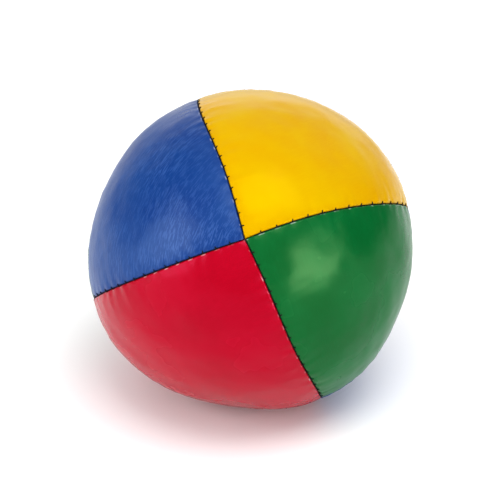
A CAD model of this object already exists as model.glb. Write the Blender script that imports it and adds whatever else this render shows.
"""A juggling ball sewn from eight leathercloth panels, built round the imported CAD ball.

The CAD nodes give each piece its place and size. Every panel, lining, thread and the grain are
made again here as the cloth, yarn and grain that they stand for. Shapes are worked out in
millimetres about the ball's centre and turned into metres when a mesh is made.
"""
import math

import bmesh
import bpy
import numpy as np
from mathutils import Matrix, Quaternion, Vector
from mathutils.kdtree import KDTree


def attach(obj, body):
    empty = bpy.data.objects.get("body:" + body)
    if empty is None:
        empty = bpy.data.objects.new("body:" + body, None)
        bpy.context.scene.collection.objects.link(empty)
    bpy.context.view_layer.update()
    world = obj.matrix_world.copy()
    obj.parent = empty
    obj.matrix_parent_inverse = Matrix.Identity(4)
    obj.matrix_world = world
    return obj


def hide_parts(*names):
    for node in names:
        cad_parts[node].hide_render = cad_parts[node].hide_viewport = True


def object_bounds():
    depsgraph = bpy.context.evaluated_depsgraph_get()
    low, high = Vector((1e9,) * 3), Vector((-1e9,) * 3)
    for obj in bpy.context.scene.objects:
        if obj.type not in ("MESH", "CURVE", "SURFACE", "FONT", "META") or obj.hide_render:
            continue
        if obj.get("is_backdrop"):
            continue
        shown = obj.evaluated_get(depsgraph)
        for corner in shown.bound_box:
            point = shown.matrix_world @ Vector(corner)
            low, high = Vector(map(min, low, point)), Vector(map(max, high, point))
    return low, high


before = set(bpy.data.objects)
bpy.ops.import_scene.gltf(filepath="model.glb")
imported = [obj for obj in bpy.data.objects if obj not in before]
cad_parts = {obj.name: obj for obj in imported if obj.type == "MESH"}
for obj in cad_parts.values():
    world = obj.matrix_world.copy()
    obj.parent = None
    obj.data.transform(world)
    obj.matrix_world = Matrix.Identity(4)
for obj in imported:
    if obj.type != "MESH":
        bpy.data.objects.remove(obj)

MM = 0.001
BODY = "root"
low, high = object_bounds()

# ------------------------------------------------------------------ sizes, in millimetres

BALL_RADIUS = (high.x - low.x) / 2 / MM
CENTRE = np.array([(low.x + high.x) / 2, (low.y + high.y) / 2, high.z]) / MM
CENTRE = CENTRE - [0, 0, BALL_RADIUS]

SKIN = 0.9
SKIN_UNDERSIDE = 0.25   # how much deeper a skin's or lining's inner face lies than its thickness
LINING = 0.4
LINING_DEPTH = 1.2
SEAM_ALLOWANCE = 3.5
SEAM_GAP = 0.10         # between two panels at the bottom of their valley
VALLEY_DEPTH = 0.55
SHOULDER = 0.36         # how wide the cloth's roll into the valley is
FOOT_SOFTNESS = 0.5     # how gently the ball turns into the patch that it rests on
QUARTER = BALL_RADIUS * math.pi / 2  # along the surface from a corner to the side opposite

# How the cloth gives near a seam: how deep, and how far away it has faded.
PULL, PULL_REACH = 0.20, 3.2         # all along the seam
TUG, TUG_REACH = 0.07, 1.2           # at each stitch
CREASE, CREASE_REACH = 0.055, 2.6    # in the creases that run out from the seam
CREASE_START = 0.5
CREASE_SPACING = 3.1

# Waves in the cloth between the seams: their length, their height, and a seed.
RIPPLES = ((24, 0.10, 3), (11, 0.07, 5), (4.6, 0.028, 8), (1.8, 0.004, 9))
SQUARENESS = 0.042      # how far eight flat panels are from a ball, as a share of its radius

SEAM_POINTS = 241       # that a seam's run is worked out at

THREAD_RADIUS = 0.09
THREAD_DEPTH = 0.53
THREAD_SWAY = 0.04      # sideways, from stitch to stitch
THREAD_DIP = 0.07       # and downwards
STITCH_STEPS = 8        # points of the yarn's run to a stitch
TICK_RADIUS = 0.12      # of the yarn where it comes up over a panel's shoulder
TICK_ACROSS = np.array([0.0, 0.14, 0.28, 0.42, 0.54])  # its points' distances from the seam
TICK_PROUD = np.array([0.0, 0.12, 0.08, 0.05, -0.2])   # and their heights above the cloth
TICK_SLANT = (-0.24, 0.56)  # the least and most that a tick runs along the seam for its width
TICK_REACH = (0.85, 1.15)   # and the shares of its usual width that it takes

STREAK_SPACING = 0.25   # of the cloth's stretch streaks
STREAK_LENGTH = 2.2
GRAIN_BUMP = 0.002      # height of the cloth's finest grain

GRAINS = 4600
GRAIN_RADIUS = 0.95
GRAIN_SIZES = (0.85, 1.1)   # the smallest and largest grain, as shares of the usual one
GRAIN_SCATTER = 0.010   # how far a grain lies from its place in the spiral, in ball radii
GRAIN_DOME = 0.7        # how far a grain stands out of the filling
GRAIN_ROOM = 1.2        # between the lining and the filling
SEAM_ROOM = 2.6         # and how much more it is under the seams' turned edges
SEAM_ROOM_REACH = 3.0
GRAIN_FLOOR = 2.2       # how far above the floor the filling's flat patch lies

# The rings of points on a face that shows, by distance from its edge, as far as its even grid.
ROLL_RINGS = (0.03, 0.09, 0.18, 0.3, 0.46, 0.68, 0.98, 1.35)
INNER_RING = 2.4        # where the even grid starts on a face that doesn't show

# Steps along a panel's side, on its outer face and its inner one.
SKIN_STEPS = (144, 24)
LINING_STEPS = (24, 12)

# ------------------------------------------------------------------ the sewn net

CORNER_BEARINGS = {
    "front": (-92.5, 34),
    "top": (127, 57),
    "right": (5, 15),
    "bottom": (-51, -47),
    "left": (-169, -13),
    "back": (87.5, -34),
}

PANELS = {
    "yellow_front": ("front", "right", "top"),
    "green_front": ("front", "bottom", "right"),
    "red_front": ("front", "left", "bottom"),
    "blue_front": ("front", "top", "left"),
    "yellow_back": ("back", "top", "right"),
    "blue_back": ("back", "right", "bottom"),
    "red_back": ("back", "bottom", "left"),
    "green_back": ("back", "left", "top"),
}

# How far each seam wanders from the shortest line between its corners: the heights of its
# first three half-waves, to the left of someone walking from the first corner on the ball.
SEAM_BOWS = {
    ("front", "top"): (-0.2, -0.5, 0.0),
    ("front", "right"): (1.3, 0.25, 0.0),
    ("front", "left"): (0.45, 0.0, 0.0),
    ("front", "bottom"): (-0.45, 0.0, 0.2),
    ("back", "top"): (0.5, 0.3, 0.0),
    ("back", "right"): (-0.8, 0.2, 0.1),
    ("back", "left"): (0.4, -0.3, 0.0),
    ("back", "bottom"): (0.7, 0.0, -0.2),
    ("top", "right"): (1.5, -0.2, 0.0),
    ("right", "bottom"): (3.9, 0.3, 0.3),
    ("bottom", "left"): (3.0, 0.2, 0.3),
    ("left", "top"): (0.9, 0.2, 0.0),
}

# The length of a stitch on each seam, and the panel that its yarn comes up over.
STITCHES = {
    ("front", "top"): (2.75, "yellow_front"),
    ("front", "right"): (3.5, "yellow_front"),
    ("front", "left"): (3.1, "blue_front"),
    ("front", "bottom"): (2.9, "green_front"),
    ("back", "top"): (3.0, "green_back"),
    ("back", "right"): (3.2, "yellow_back"),
    ("back", "left"): (3.0, "red_back"),
    ("back", "bottom"): (2.9, "blue_back"),
    ("top", "right"): (3.2, "yellow_front"),
    ("right", "bottom"): (3.0, "green_front"),
    ("bottom", "left"): (2.6, "red_back"),
    ("left", "top"): (3.1, "blue_front"),
}

THREADS = {
    "thread_front_right": ("front", "right"),
    "thread_front_left": ("front", "left"),
    "thread_front_long": ("top", "front", "bottom"),
    "thread_back_right": ("back", "right"),
    "thread_back_left": ("back", "left"),
    "thread_back_long": ("top", "back", "bottom"),
    "thread_girdle": ("left", "top", "right", "bottom"),
    "closing_thread": ("bottom", "left"),
}

# Where the filling bulges or lies slack: bearing, height above the horizon, rise, and reach.
LUMPS = (
    (20, 36, 0.6, 16),
    (56, 58, 0.6, 15),
    (118, 58, -0.7, 18),
    (0, 2, -0.4, 12),
    (172, 16, -0.4, 14),
    (-160, -28, 0.8, 14),
    (-97, -58, -1.1, 15),
    (-30, -38, 0.45, 13),
)


def direction(bearing, height):
    a, e = math.radians(bearing), math.radians(height)
    return np.array([math.cos(e) * math.cos(a), math.cos(e) * math.sin(a), math.sin(e)])


CORNERS = {name: direction(*angles) for name, angles in CORNER_BEARINGS.items()}


def unit(vectors):
    return vectors / np.linalg.norm(vectors, axis=-1, keepdims=True)


def seam_key(start, end):
    """The seam's own direction of travel, and whether start to end goes against it."""
    return ((start, end), False) if (start, end) in SEAM_BOWS else ((end, start), True)


def bow(start, end, share):
    """How far the seam wanders at each share of the way from start to end, as vectors."""
    (first, second), against = seam_key(start, end)
    along = 1 - share if against else share
    waves = SEAM_BOWS[first, second]
    height = sum(h * np.sin((k + 1) * np.pi * along) for k, h in enumerate(waves))
    return (height / BALL_RADIUS)[:, None] * unit(np.cross(CORNERS[first], CORNERS[second]))


def between(start, end, share):
    """Directions from the ball's centre along a seam."""
    turn = share[:, None] * np.pi / 2
    straight = unit(np.cos(turn) * CORNERS[start] + np.sin(turn) * CORNERS[end])
    return unit(straight + bow(start, end, share))


def on_panel(corners, weights):
    """Directions for points of a panel, given as shares of its three corners."""
    frame_of_panel = np.array([CORNERS[name] for name in corners])
    straight = unit(np.sin(weights * np.pi / 2) @ frame_of_panel)
    moved = straight.copy()
    for i in range(3):
        j, opposite = (i + 1) % 3, (i + 2) % 3
        both = np.maximum(weights[:, i] + weights[:, j], 1e-9)
        nearness = (1 - weights[:, opposite]) ** 2
        moved += nearness[:, None] * bow(corners[i], corners[j], weights[:, j] / both)
    return unit(moved)


class Seam:
    """A seam as a run of points, with the length along it and the spacing of its stitches."""

    def __init__(self, start, end, stitch):
        self.directions = between(start, end, np.linspace(0, 1, SEAM_POINTS))
        points = self.directions * BALL_RADIUS
        steps = np.linalg.norm(np.diff(points, axis=0), axis=1)
        self.lengths = np.concatenate([[0], np.cumsum(steps)])
        self.stitches = round(self.lengths[-1] / stitch)
        self.pitch = self.lengths[-1] / self.stitches

    def reached(self, length):
        """The place on the seam at each length along it, in ball radii from the centre."""
        axes = [np.interp(length, self.lengths, axis) for axis in self.directions.T]
        return np.stack(axes, axis=1)

    def at(self, length):
        """The direction of the seam at each length along it, and the direction to its left."""
        step = 0.2
        run = self.reached(length)
        forward = self.reached(length + step) - self.reached(length - step)
        return unit(run), unit(np.cross(run, forward))

    def nearest(self, directions):
        """The distance from each direction to the seam, and the length along it there."""
        cosines = directions @ self.directions.T
        i = np.clip(cosines.argmax(axis=1), 1, len(self.directions) - 2)
        back, ahead = self.directions[i - 1], self.directions[i + 1]
        run = unit(ahead - back)
        offset = directions - self.directions[i]
        along = np.einsum("ij,ij->i", offset, run)
        across = np.linalg.norm(offset - along[:, None] * run, axis=1)
        return across * BALL_RADIUS, self.lengths[i] + along * BALL_RADIUS


SEAMS = {ends: Seam(*ends, STITCHES[ends][0]) for ends in SEAM_BOWS}

# ------------------------------------------------------------------ the ball's relief


def ripple(points, wavelength, seed, waves=28):
    """A smooth random height of about -1 to 1, made of plane waves in all directions."""
    chance = np.random.default_rng(seed)
    headings = unit(chance.normal(size=(waves, 3)))
    lengths = wavelength * chance.uniform(0.75, 1.45, waves)
    phases = chance.uniform(0, 2 * np.pi, waves)
    swing = np.sin(points @ (headings * (2 * np.pi / lengths)[:, None]).T + phases)
    return swing.sum(axis=1) / math.sqrt(waves)


def ripple_along(length, wavelength, seed, waves=9):
    """The same along a line."""
    chance = np.random.default_rng(seed)
    lengths = wavelength * chance.uniform(0.6, 1.7, waves)
    phases = chance.uniform(0, 2 * np.pi, waves)
    swing = np.sin(2 * np.pi * length[:, None] / lengths + phases)
    return swing.sum(axis=1) / math.sqrt(waves)


def fullness(directions):
    """How far the filling pushes the cloth out or lets it in, away from the seams."""
    net = np.array([CORNERS["right"], CORNERS["top"], CORNERS["front"]])
    mean = 0.6  # of the sum of the fourth powers, over the whole ball
    squareness = ((directions @ net.T) ** 4).sum(axis=1) - mean
    rise = SQUARENESS * BALL_RADIUS * squareness
    for bearing, height, amount, reach in LUMPS:
        cosine = directions @ direction(bearing, height)
        angle = np.degrees(np.arccos(np.clip(cosine, -1, 1)))
        rise += amount * np.exp(-0.5 * (angle / reach) ** 2)
    points = directions * BALL_RADIUS
    for wavelength, height, seed in RIPPLES:
        rise += height * ripple(points, wavelength, seed)
    return rise


def seam_relief(corners, directions, seed):
    """The cloth's drop towards its seams, the distance to the nearest one, and its stitches.

    The stitches' value is 1 beside a stitch that rubs this panel, falling to -1 between two, and
    it is -1 all along a seam whose yarn comes up over this panel.
    """
    drop = np.zeros(len(directions))
    nearest = np.full(len(directions), 1e9)
    beat = np.zeros(len(directions))
    for i in range(3):
        ends, _ = seam_key(corners[i], corners[(i + 1) % 3])
        seam = SEAMS[ends]
        away, along = seam.nearest(directions)
        inside = np.clip(1 - (away - SEAM_GAP / 2) / SHOULDER, 0, 1)
        roll = 1 - np.sqrt(1 - inside ** 2)
        pull = PULL * np.exp(-away / PULL_REACH)
        stitch = np.cos(2 * np.pi * along / seam.pitch)
        rubbed = PANELS[STITCHES[ends][1]] != corners
        beat = np.where(away < nearest, stitch if rubbed else -1, beat)
        nearest = np.minimum(nearest, away)
        tug = TUG * (1 + stitch) * np.exp(-(away / TUG_REACH) ** 2)
        fading = np.exp(-away / CREASE_REACH) * (1 - np.exp(-away / CREASE_START))
        crease = CREASE * ripple_along(along, CREASE_SPACING, seed + 10 * i) * fading
        drop = np.maximum(drop, VALLEY_DEPTH * roll) + pull + tug + crease
    return -drop, nearest, beat


def settled(height_above_floor, level):
    """Presses what would lie below a level flat onto it, with a soft edge."""
    raised = height_above_floor - level
    return level + (raised + np.sqrt(raised ** 2 + FOOT_SOFTNESS ** 2)) / 2


def placed(directions, radii, level=0.0):
    points = directions * radii[:, None] + CENTRE
    points[:, 2] = settled(points[:, 2], level)
    return points


# ------------------------------------------------------------------ meshes


def ring(steps, inset):
    """Corner shares of the points round a triangle, taken in from its sides."""
    share = np.arange(steps)[:, None] / steps
    sides = []
    for i in range(3):
        here, there = np.eye(3)[i], np.eye(3)[(i + 1) % 3]
        sides.append((1 - share) * here + share * there)
    return inset + (1 - 3 * inset) * np.concatenate(sides)


def triangle_grid(steps, inset):
    """Corner shares, faces, and the rim of an evenly divided triangle, rim in ring order."""
    cells = [(i, j, steps - i - j) for i in range(steps + 1) for j in range(steps + 1 - i)]
    number = {cell: n for n, cell in enumerate(cells)}
    faces = []
    for i, j, k in cells:
        if i > 0:
            faces.append([number[i, j, k], number[i - 1, j + 1, k], number[i - 1, j, k + 1]])
            if k > 0:
                faces.append([number[i, j, k], number[i, j + 1, k - 1], number[i - 1, j + 1, k]])
    rim = [number[steps - s, s, 0] for s in range(steps)]
    rim += [number[0, steps - s, s] for s in range(steps)]
    rim += [number[s, 0, steps - s] for s in range(steps)]
    shares = inset + (1 - 3 * inset) * np.array(cells) / steps
    return shares, faces, rim


def layer(steps, insets):
    """Rings at the given distances from the sides, closed by a grid at the last one."""
    shares = [ring(steps, inset / QUARTER) for inset in insets[:-1]]
    grid_shares, grid_faces, rim = triangle_grid(steps, insets[-1] / QUARTER)
    around = 3 * steps
    first_of_grid = around * (len(insets) - 1)
    loops = [list(range(r * around, (r + 1) * around)) for r in range(len(insets) - 1)]
    loops.append([first_of_grid + n for n in rim])
    faces = []
    for outer, inner in zip(loops, loops[1:]):
        for n in range(around):
            m = (n + 1) % around
            faces.append([outer[n], outer[m], inner[m], inner[n]])
    faces += [[first_of_grid + n for n in face] for face in grid_faces]
    return np.concatenate(shares + [grid_shares]), faces, loops[0]


def closing_strip(fine_loop, coarse_loop):
    """Faces that join a finely divided rim to a coarse one with the same corners."""
    times = len(fine_loop) // len(coarse_loop)
    faces = []
    for n, here in enumerate(coarse_loop):
        there = coarse_loop[(n + 1) % len(coarse_loop)]
        run = [fine_loop[(n * times + k) % len(fine_loop)] for k in range(times + 1)]
        middle = times // 2
        for k in range(times):
            faces.append([run[k + 1], run[k], here if k < middle else there])
        faces.append([run[middle], here, there])
    return faces


def mesh_piece(name, points, faces, material, slot):
    mesh = bpy.data.meshes.new(name)
    mesh.from_pydata((points * MM).tolist(), [], faces)
    mesh.validate()
    mesh.shade_smooth()
    mesh.materials.append(material)
    piece = bpy.data.objects.new(name, mesh)
    bpy.context.scene.collection.objects.link(piece)
    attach(piece, BODY)
    return piece


def turned_in(radii, full, steps):
    """The same radii, but with the outermost ring at the end of the seam allowance."""
    edge = 3 * steps
    return np.concatenate([(BALL_RADIUS + full - SEAM_ALLOWANCE)[:edge], radii[edge:]])


def cloth_sheet(name, corners, material, slot, depth, thickness, seam_inset, steps):
    """A closed sheet that follows a panel at a depth, with its edges turned in at the seams."""
    outer_steps, inner_steps = steps
    outer_insets = [seam_inset] * 2 + [seam_inset + distance for distance in ROLL_RINGS]
    shares, faces, rim = layer(outer_steps, outer_insets)
    directions = on_panel(corners, shares)
    relief, away, beat = seam_relief(corners, directions, sum(map(ord, name)))
    full = fullness(directions)
    radii = BALL_RADIUS - depth + full
    if depth == 0:
        radii = radii + relief
    outside = placed(directions, turned_in(radii, full, outer_steps), depth)

    inner_inset = seam_inset + thickness
    inner_insets = [inner_inset, inner_inset, INNER_RING]
    inner_shares, inner_faces, inner_rim = layer(inner_steps, inner_insets)
    inner_directions = on_panel(corners, inner_shares)
    inner_full = fullness(inner_directions)
    inner_radii = BALL_RADIUS - depth - thickness + inner_full - SKIN_UNDERSIDE
    inner_radii = turned_in(inner_radii, inner_full, inner_steps)
    inside = placed(inner_directions, inner_radii, depth + thickness)

    start = len(outside)
    faces += [[start + n for n in reversed(face)] for face in inner_faces]
    faces += closing_strip(rim, [start + n for n in inner_rim])
    piece = mesh_piece(name, np.concatenate([outside, inside]), faces, material, slot)
    for key, values, far_away in (("seam_mm", away, 9.0), ("stitch", beat, -1.0)):
        whole = np.concatenate([values, np.full(len(inside), far_away)])
        attribute = piece.data.attributes.new(key, "FLOAT", "POINT")
        attribute.data.foreach_set("value", whole.astype(np.float32))
    return piece


def tube_mesh(points, radius, sides):
    """Points and faces of a closed tube along a run of points."""
    ahead = unit(np.gradient(points, axis=0))
    side = unit(np.cross(ahead, unit(points - CENTRE)))
    up = np.cross(side, ahead)
    turns = np.linspace(0, 2 * np.pi, sides, endpoint=False)[None, :, None]
    rings = radius * (np.cos(turns) * side[:, None] + np.sin(turns) * up[:, None])
    surface = (points[:, None] + rings).reshape(-1, 3)
    faces = []
    for n in range(len(points) - 1):
        for k in range(sides):
            m = (k + 1) % sides
            here, there = n * sides, (n + 1) * sides
            faces.append([here + k, there + k, there + m, here + m])
    faces.append(list(range(sides)))
    faces.append([len(surface) - 1 - k for k in range(sides)])
    return surface, faces


def joined(parts):
    points, faces, start = [], [], 0
    for part_points, part_faces in parts:
        points.append(part_points)
        faces += [[start + n for n in face] for face in part_faces]
        start += len(part_points)
    return np.concatenate(points), faces


# ------------------------------------------------------------------ materials


class Nodes:
    """A node tree, with short calls for the nodes that are used here."""

    def __init__(self, owner):
        owner.use_nodes = True
        self.tree = owner.node_tree

    def add(self, kind, **settings):
        node = self.tree.nodes.new(kind)
        for key, value in settings.items():
            setattr(node, key, value)
        return node

    def link(self, source, target):
        self.tree.links.new(source, target)

    def attribute(self, name):
        return self.add("ShaderNodeAttribute", attribute_name=name).outputs["Fac"]

    def split(self, vector):
        node = self.add("ShaderNodeSeparateXYZ")
        self.link(vector, node.inputs[0])
        return [node.outputs[axis] for axis in "XYZ"]

    def vector(self, **axes):
        node = self.add("ShaderNodeCombineXYZ")
        for axis, value in axes.items():
            self.link(value, node.inputs[axis])
        return node.outputs[0]

    def noise(self, coordinates, scale, detail=3.0, roughness=0.5, distortion=0.0):
        node = self.add("ShaderNodeTexNoise")
        node.inputs["Scale"].default_value = scale
        node.inputs["Detail"].default_value = detail
        node.inputs["Roughness"].default_value = roughness
        node.inputs["Distortion"].default_value = distortion
        self.link(coordinates, node.inputs["Vector"])
        return node.outputs["Fac"]

    def span(self, value, to=(0, 1), over=(0.3, 0.7)):
        """Goes smoothly from one output to the other over a stretch of the value."""
        node = self.add("ShaderNodeMapRange", interpolation_type="SMOOTHSTEP")
        for side, ends in (("From", over), ("To", to)):
            node.inputs[side + " Min"].default_value, node.inputs[side + " Max"].default_value = ends
        self.link(value, node.inputs["Value"])
        return node.outputs["Result"]

    def mix(self, share, first, second):
        """Mixes two colours. They are at this node's sockets 6 and 7, and the result at 2."""
        node = self.add("ShaderNodeMix", data_type="RGBA")
        self.link(share, node.inputs[0])
        for socket, colour in ((node.inputs[6], first), (node.inputs[7], second)):
            if isinstance(colour, tuple):
                socket.default_value = (*colour, 1)
            else:
                self.link(colour, socket)
        return node.outputs[2]

    def maths(self, operation, first, second):
        """Works on two values, of which each is a number or another node's output."""
        node = self.add("ShaderNodeMath", operation=operation)
        for socket, value in zip(node.inputs, (first, second)):
            if isinstance(value, float):
                socket.default_value = value
            else:
                self.link(value, socket)
        return node.outputs[0]

    def times(self, first, second):
        return self.maths("MULTIPLY", first, second)

    def bump(self, height, distance, under=None):
        node = self.add("ShaderNodeBump")
        node.inputs["Distance"].default_value = distance
        node.inputs["Strength"].default_value = 1.0
        self.link(height, node.inputs["Height"])
        if under is not None:
            self.link(under, node.inputs["Normal"])
        return node.outputs["Normal"]


class Surface(Nodes):
    """A new material's node tree."""

    def __init__(self, name):
        self.material = bpy.data.materials.new(name)
        super().__init__(self.material)
        self.shader = self.tree.nodes["Principled BSDF"]
        self.place = self.add("ShaderNodeTexCoord").outputs["Object"]

    def give(self, **values):
        """Sets the shader's inputs, whose names are written here with _ for each space."""
        for key, value in values.items():
            socket = self.shader.inputs[key.replace("_", " ")]
            if isinstance(value, (float, tuple)):
                socket.default_value = value
            else:
                self.link(value, socket)


def linear(red, green, blue):
    """A colour given as 0 to 255 on screen, as the light it stands for."""
    def one(value):
        value /= 255
        return value / 12.92 if value <= 0.04045 else ((value + 0.055) / 1.055) ** 2.4
    return one(red), one(green), one(blue)


def leathercloth(name, main, deep, streak, streak_share, streak_height, pole, gloss, level, rough,
                 rub):
    """Coated cloth, with stretch streaks in circles round a pole and a pale rub at each stitch.

    gloss tints what it reflects face on, and towards the ball's edge the reflection turns white.
    """
    nodes = Surface(name)
    streaks = nodes.noise(round_the_pole(nodes, pole), scale=1.0, detail=2, roughness=0.6,
                          distortion=0.15)
    broad = nodes.noise(nodes.place, scale=60, roughness=0.55)
    fine = nodes.noise(nodes.place, scale=2600, detail=2)
    patches = nodes.noise(nodes.place, scale=45, detail=2)
    seam = nodes.attribute("seam_mm")

    shade = nodes.mix(nodes.span(broad), deep, main)
    some = nodes.span(patches, to=(0.3 * streak_share, streak_share), over=(0.35, 0.65))
    lit = nodes.times(nodes.span(streaks, over=(0.46, 0.62)), some)
    streaked = nodes.mix(lit, shade, streak)
    edged = nodes.mix(nodes.span(seam, to=(0.5, 0), over=(0.2, 2.0)), streaked, deep)
    pale = tuple(0.35 + 0.65 * part for part in main)
    worn = nodes.mix(rub_marks(nodes, seam, rub), edged, pale)

    streak_bump = nodes.bump(streaks, streak_height * MM)
    nodes.give(Base_Color=worn,
               Roughness=nodes.span(broad, to=(rough - 0.04, rough + 0.05)),
               Normal=nodes.bump(fine, GRAIN_BUMP * MM, streak_bump),
               Specular_IOR_Level=level,
               Specular_Tint=(*gloss, 1))
    return nodes.material


def rub_marks(nodes, seam, strength):
    """A speckled spot beside each stitch, where its yarn has rubbed the coating."""
    spot = nodes.span(nodes.attribute("stitch"), to=(0, strength), over=(0.1, 0.95))
    near_enough = nodes.span(seam, to=(1, 0), over=(0.26, 0.5))
    out_of_the_valley = nodes.span(seam, over=(0.10, 0.2))
    speckle = nodes.span(nodes.noise(nodes.place, scale=700, detail=1), over=(0.4, 0.62))
    for part in (near_enough, out_of_the_valley, speckle):
        spot = nodes.times(spot, part)
    return spot


def round_the_pole(nodes, pole):
    """Coordinates that change quickly away from a pole of the ball and slowly round it."""
    turned = nodes.add("ShaderNodeMapping", vector_type="TEXTURE")
    turned.inputs["Rotation"].default_value = Vector(pole).to_track_quat("Z", "Y").to_euler()
    turned.inputs["Location"].default_value = Vector(CENTRE * MM)
    nodes.link(nodes.place, turned.inputs["Vector"])
    x, y, z = nodes.split(turned.outputs["Vector"])
    flat = nodes.vector(X=x, Y=y)
    length = nodes.add("ShaderNodeVectorMath", operation="LENGTH")
    nodes.link(flat, length.inputs[0])
    angle = nodes.maths("ARCTAN2", length.outputs["Value"], z)
    heading = nodes.add("ShaderNodeVectorMath", operation="NORMALIZE")
    nodes.link(flat, heading.inputs[0])
    slow = nodes.add("ShaderNodeVectorMath", operation="SCALE")
    slow.inputs["Scale"].default_value = BALL_RADIUS / STREAK_LENGTH
    nodes.link(heading.outputs[0], slow.inputs[0])
    slow_x, slow_y, _ = nodes.split(slow.outputs[0])
    return nodes.vector(X=slow_x, Y=slow_y, Z=nodes.times(angle, BALL_RADIUS / STREAK_SPACING))


def woven_cotton():
    """Undyed plain weave, about twenty yarns to the centimetre."""
    nodes = Surface("cotton_lining")
    warp = nodes.add("ShaderNodeTexWave", wave_type="BANDS", bands_direction="X")
    weft = nodes.add("ShaderNodeTexWave", wave_type="BANDS", bands_direction="Z")
    for yarns in (warp, weft):
        yarns.inputs["Scale"].default_value = 310
        yarns.inputs["Distortion"].default_value = 0.6
        nodes.link(nodes.place, yarns.inputs["Vector"])
    weave = nodes.times(warp.outputs["Fac"], weft.outputs["Fac"])
    slub = nodes.noise(nodes.place, scale=300, detail=4)
    nodes.give(Base_Color=nodes.mix(nodes.span(slub), linear(202, 192, 170), linear(226, 219, 202)),
               Normal=nodes.bump(weave, 0.1 * MM),
               Roughness=nodes.span(slub, to=(0.85, 0.97)),
               Sheen_Weight=0.2)
    return nodes.material


def sewing_yarn():
    """Black twisted polyester, with its plies and a few stray fibres."""
    nodes = Surface("sewing_thread")
    ply = nodes.add("ShaderNodeTexWave", wave_type="BANDS", bands_direction="DIAGONAL")
    ply.inputs["Scale"].default_value = 900
    ply.inputs["Distortion"].default_value = 1.5
    nodes.link(nodes.place, ply.inputs["Vector"])
    fibres = nodes.noise(nodes.place, scale=5000)
    nodes.give(Base_Color=nodes.mix(ply.outputs["Fac"], linear(6, 5, 5), linear(24, 21, 19)),
               Roughness=nodes.span(fibres, to=(0.55, 0.75)),
               Specular_IOR_Level=0.25,
               Normal=nodes.bump(ply.outputs["Fac"], 0.06 * MM))
    return nodes.material


def millet():
    """Hulled millet: pale gold grains with darker gaps between them."""
    nodes = Surface("millet_grain")
    grains = nodes.add("ShaderNodeTexVoronoi", feature="F1")
    grains.inputs["Scale"].default_value = 480
    nodes.link(nodes.place, grains.inputs["Vector"])
    from_middle = grains.outputs["Distance"]
    tone = nodes.noise(nodes.place, scale=500, detail=2)
    pale = nodes.mix(nodes.span(tone), linear(196, 150, 62), linear(232, 198, 120))
    gap = nodes.span(from_middle, to=(0, 0.8), over=(0.4, 0.8))
    lift = nodes.span(from_middle, to=(1, 0), over=(0, 0.8))
    nodes.give(Base_Color=nodes.mix(gap, pale, linear(110, 78, 30)),
               Roughness=nodes.span(tone, to=(0.5, 0.75)),
               Normal=nodes.bump(lift, 0.6 * MM))
    return nodes.material


# The blue streaks circle a point that lies beyond the front corner, away from the blue panel.
BLUE_POLE = unit(CORNERS["front"] - 0.7 * unit(CORNERS["top"] + CORNERS["left"]))

CLOTHS = {
    "blue": leathercloth(
        "leathercloth_blue",
        main=linear(16, 61, 123), deep=linear(9, 51, 115), streak=linear(78, 112, 172),
        streak_share=0.36, streak_height=0.04, pole=BLUE_POLE,
        gloss=(0.58, 0.75, 1.0), level=0.4, rough=0.31, rub=0.7),
    "yellow": leathercloth(
        "leathercloth_yellow",
        main=linear(196, 157, 0), deep=linear(193, 145, 0), streak=linear(200, 163, 0),
        streak_share=0.2, streak_height=0.002, pole=CORNERS["top"],
        gloss=(0.8, 1.0, 0.0), level=0.24, rough=0.22, rub=0.0),
    "green": leathercloth(
        "leathercloth_green",
        main=linear(0, 97, 48), deep=linear(0, 87, 40), streak=linear(2, 103, 54),
        streak_share=0.2, streak_height=0.002, pole=CORNERS["right"],
        gloss=(0.62, 1.0, 0.45), level=0.26, rough=0.26, rub=0.8),
    "red": leathercloth(
        "leathercloth_red",
        main=linear(166, 0, 32), deep=linear(156, 0, 26), streak=linear(172, 4, 38),
        streak_share=0.2, streak_height=0.002, pole=CORNERS["bottom"],
        gloss=(1.0, 0.15, 0.35), level=0.45, rough=0.24, rub=0.7),
}
COTTON = woven_cotton()
YARN = sewing_yarn()
MILLET = millet()

# ------------------------------------------------------------------ the camera

ELEVATION = 30           # how far the camera looks down, in degrees
DISTANCE = 23.5          # from the ball's centre, in ball radii
BALL_SHARE = 0.648       # of the frame's half width that the ball's radius takes up
VIEW_SHIFT = (-0.002, 0.002)


def make_camera():
    lens_angle = math.atan(math.tan(math.asin(1 / DISTANCE)) / BALL_SHARE)
    data = bpy.data.cameras.new("camera")
    data.angle = 2 * lens_angle
    data.clip_end = 100
    data.shift_x, data.shift_y = VIEW_SHIFT
    camera = bpy.data.objects.new("camera", data)
    back = Vector(direction(-90, ELEVATION))
    centre = Vector(CENTRE * MM)
    camera.location = centre + back * DISTANCE * BALL_RADIUS * MM
    camera.rotation_euler = back.to_track_quat("Z", "Y").to_euler()
    bpy.context.scene.collection.objects.link(camera)
    bpy.context.scene.camera = camera


make_camera()

# ------------------------------------------------------------------ the pieces


def make_panels():
    lining_inset = SEAM_GAP / 2 + LINING_DEPTH
    for name, corners in PANELS.items():
        colour = name.split("_")[0]
        skin = cloth_sheet("panel_" + name, corners, CLOTHS[colour], "leathercloth_" + colour,
                           0, SKIN, SEAM_GAP / 2, SKIN_STEPS)
        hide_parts("skin_" + name)
        lining = cloth_sheet("cotton_" + name, corners, COTTON, "cotton_lining",
                             LINING_DEPTH, LINING, lining_inset, LINING_STEPS)
        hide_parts("lining_" + name)


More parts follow.
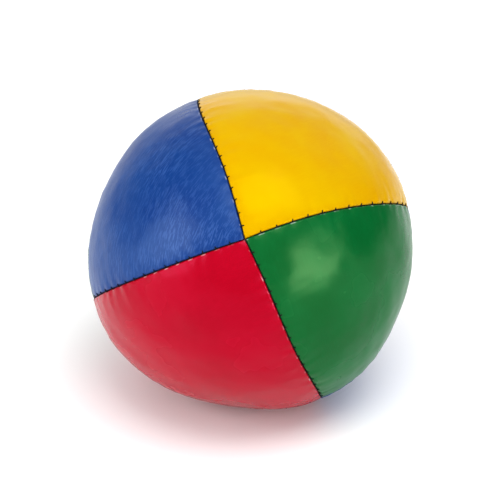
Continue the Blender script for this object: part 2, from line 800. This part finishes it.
def tick_paths(ends):
    """The short turns of yarn that come up out of a seam and over one panel's shoulder."""
    seam, panel = SEAMS[ends], STITCHES[ends][1]
    chance = np.random.default_rng(sum(map(ord, ends[0] + ends[1])))
    middle = unit(sum(CORNERS[name] for name in PANELS[panel]))
    for n in range(1, seam.stitches):
        slant, reach = chance.uniform(*TICK_SLANT), chance.uniform(*TICK_REACH)
        across = TICK_ACROSS * reach
        directions, left = seam.at(n * seam.pitch + slant * across)
        inward = np.sign(left @ middle)[:, None]
        directions = unit(directions + inward * left * (across / BALL_RADIUS)[:, None])
        relief, _, _ = seam_relief(PANELS[panel], directions, sum(map(ord, "panel_" + panel)))
        radii = BALL_RADIUS + fullness(directions) + relief + TICK_PROUD
        radii[0] = BALL_RADIUS + fullness(directions[:1])[0] - THREAD_DEPTH
        yield placed(directions, radii)


def yarn_path(ends):
    """The yarn along the bottom of a seam's valley, swaying a little from stitch to stitch."""
    seam = SEAMS[ends]
    length = np.linspace(0, seam.lengths[-1], seam.stitches * STITCH_STEPS + 1)
    phase = 2 * np.pi * length / seam.pitch
    directions, left = seam.at(length)
    directions = unit(directions + left * (THREAD_SWAY * np.sin(phase) / BALL_RADIUS)[:, None])
    depth = THREAD_DEPTH - THREAD_DIP * np.cos(phase)
    return placed(directions, BALL_RADIUS + fullness(directions) - depth)


def make_threads():
    for name, route in THREADS.items():
        runs, ticks = [], []
        for start, end in zip(route, route[1:]):
            ends, against = seam_key(start, end)
            run = yarn_path(ends)
            runs.append(run[::-1] if against else run)
            ticks += tick_paths(ends)
        points = np.concatenate([runs[0]] + [run[1:] for run in runs[1:]])
        # Only the girdle runs on into its corners. The others stop half a stitch short.
        trim = 0 if name == "thread_girdle" else STITCH_STEPS // 2
        parts = [tube_mesh(points[trim:len(points) - trim], THREAD_RADIUS, sides=8)]
        parts += [tube_mesh(tick, TICK_RADIUS, sides=6) for tick in ticks]
        yarn = mesh_piece("yarn_" + name, *joined(parts), YARN, "sewing_thread")
        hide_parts(name)


def make_grain():
    """The filling's outside: a packed layer of millet that follows the lining."""
    golden_angle = math.pi * (3 - math.sqrt(5))
    n = np.arange(GRAINS) + 0.5
    height = 1 - 2 * n / GRAINS
    turn = n * golden_angle
    spread = np.sqrt(1 - height ** 2)
    seeds = np.stack([spread * np.cos(turn), spread * np.sin(turn), height], axis=1)
    chance = np.random.default_rng(11)
    seeds = unit(seeds + chance.normal(scale=GRAIN_SCATTER, size=seeds.shape))
    radii = GRAIN_RADIUS * chance.uniform(*GRAIN_SIZES, GRAINS)
    tree = KDTree(GRAINS)
    for index, seed in enumerate(seeds):
        tree.insert(seed, index)
    tree.balance()

    ball = bmesh.new()
    bmesh.ops.create_icosphere(ball, subdivisions=7, radius=1.0)
    directions = np.array([vertex.co[:] for vertex in ball.verts])
    faces = [[vertex.index for vertex in face.verts] for face in ball.faces]
    ball.free()

    found = [tree.find(point) for point in directions]
    nearest = np.array([index for _, index, _ in found])
    distance = np.array([gap for _, _, gap in found]) * BALL_RADIUS / radii[nearest]
    dome = GRAIN_DOME * np.sqrt(np.clip(1 - distance ** 2, 0, 1))
    away = np.min([seam.nearest(directions)[0] for seam in SEAMS.values()], axis=0)
    room = LINING_DEPTH + LINING + GRAIN_ROOM + GRAIN_DOME
    room = room + SEAM_ROOM * np.exp(-(away / SEAM_ROOM_REACH) ** 2)
    points = placed(directions, BALL_RADIUS + fullness(directions) - room + dome, GRAIN_FLOOR)
    grain = mesh_piece("millet_filling", points, faces, MILLET, "millet_grain")
    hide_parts("grain_filling")


make_panels()
make_threads()
make_grain()
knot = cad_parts["closing_knot"]
knot.data.materials.clear()
knot.data.materials.append(YARN)

# ------------------------------------------------------------------ floor and light


def make_floor():
    reach = 4.0
    mesh = bpy.data.meshes.new("floor")
    mesh.from_pydata([(-reach, -reach, 0), (reach, -reach, 0), (reach, reach, 0),
                      (-reach, reach, 0)], [], [[0, 1, 2, 3]])
    paper = Surface("white_paper")
    paper.give(Base_Color=(0.93, 0.93, 0.93, 1), Roughness=0.9)
    mesh.materials.append(paper.material)
    floor = bpy.data.objects.new("floor", mesh)
    bpy.context.scene.collection.objects.link(floor)
    floor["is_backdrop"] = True


def soft_light(name, bearing, height, distance, size, brightness, roll=0, glossy=True, diffuse=True):
    """A softbox of even brightness that faces the ball. Its distance and size are in metres."""
    data = bpy.data.lights.new(name, "AREA")
    data.shape = "RECTANGLE"
    data.size, data.size_y = size
    data.energy = brightness * math.pi * size[0] * size[1]
    light = bpy.data.objects.new(name, data)
    away = Vector(direction(bearing, height))
    light.location = Vector(CENTRE * MM) + away * distance
    turn = away.to_track_quat("Z", "Y") @ Quaternion((0, 0, 1), math.radians(roll))
    light.rotation_euler = turn.to_euler()
    light.visible_glossy, light.visible_diffuse = glossy, diffuse
    bpy.context.scene.collection.objects.link(light)


# The white room round the ball, and its darker and brighter sides: the bearing and height of
# each, its share of the room's brightness, and how wide it reaches, in degrees.
ROOM = 0.75
ROOM_SIDES = (
    (8, 6, 0.25, 45),
    (161, 25, 0.25, 45),
    (90, 0, 1.9, 36),
)
ROOM_SIDE_MIDDLE = 0.98  # the cosine of the angle within which a side isn't blended with the room


def make_world():
    world = bpy.data.worlds.new("studio")
    nodes = Nodes(world)
    heading = nodes.add("ShaderNodeTexCoord").outputs["Generated"]
    brightness = ROOM
    for bearing, height, share, reach in ROOM_SIDES:
        dot = nodes.add("ShaderNodeVectorMath", operation="DOT_PRODUCT")
        dot.inputs[1].default_value = direction(bearing, height)
        nodes.link(heading, dot.inputs[0])
        edge = math.cos(math.radians(reach))
        change = nodes.span(dot.outputs["Value"], to=(1, share), over=(edge, ROOM_SIDE_MIDDLE))
        brightness = nodes.times(brightness, change)
    background = nodes.tree.nodes["Background"]
    background.inputs["Color"].default_value = (0.98, 0.99, 1.0, 1)
    nodes.link(brightness, background.inputs["Strength"])
    scene = bpy.context.scene
    scene.world = world
    scene.view_settings.view_transform = "Standard"
    scene.view_settings.look = "Medium High Contrast"


make_floor()
# The glint is what the green panel mirrors of the window, and the fill lifts the shadows.
soft_light("window", -39, 6, distance=0.6, size=(0.42, 0.46), brightness=1.8)
soft_light("window_glint", -46, 4, distance=0.58, size=(0.23, 0.40), brightness=6.4, roll=-38,
           diffuse=False)
soft_light("overhead", -58, 70, distance=0.7, size=(0.55, 0.42), brightness=3.6)
soft_light("side", -158, 20, distance=0.6, size=(0.34, 0.42), brightness=3.0)
soft_light("fill", -110, 30, distance=0.7, size=(0.6, 0.4), brightness=0.45, glossy=False)
make_world()

# ------------------------------------------------------------------ hand over

low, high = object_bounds()
